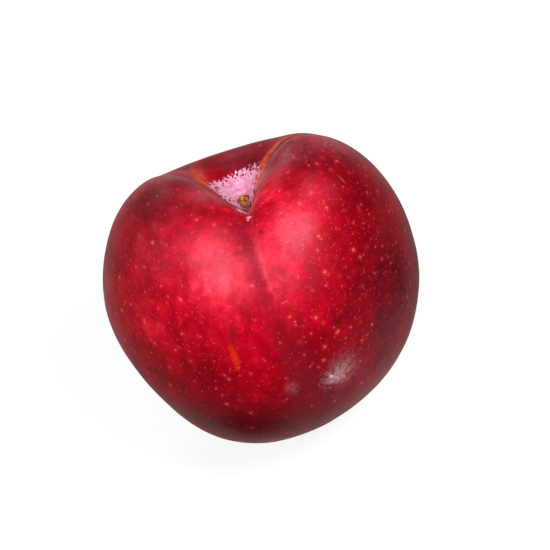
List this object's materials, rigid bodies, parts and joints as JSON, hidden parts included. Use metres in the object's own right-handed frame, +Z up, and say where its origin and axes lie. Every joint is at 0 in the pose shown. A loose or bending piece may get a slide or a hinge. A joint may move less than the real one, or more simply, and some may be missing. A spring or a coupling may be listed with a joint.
{
  "type": "plum",
  "caption": "Ripe red plum with a deep stem cavity, a suture notch and crease down one side, and a small flat to rest on.",
  "frame": {"origin": "on the table under the fruit, in the middle of its width and depth, inside the small flat that it rests on", "axes": "+Z up, the longest extent; the suture's notch and crease face -Y, and the stem leans back towards +Y and left towards -X"},
  "size_m": [0.0622, 0.062, 0.0648],
  "materials": {
    "plum_skin": "satin-gloss waxy red skin with pale dots, a thin bloom towards the sides and orange streaks in the stem cavity"
  },
  "bodies": {
    "root": {"plum_body": "plum_skin"}
  },
  "joints": []
}
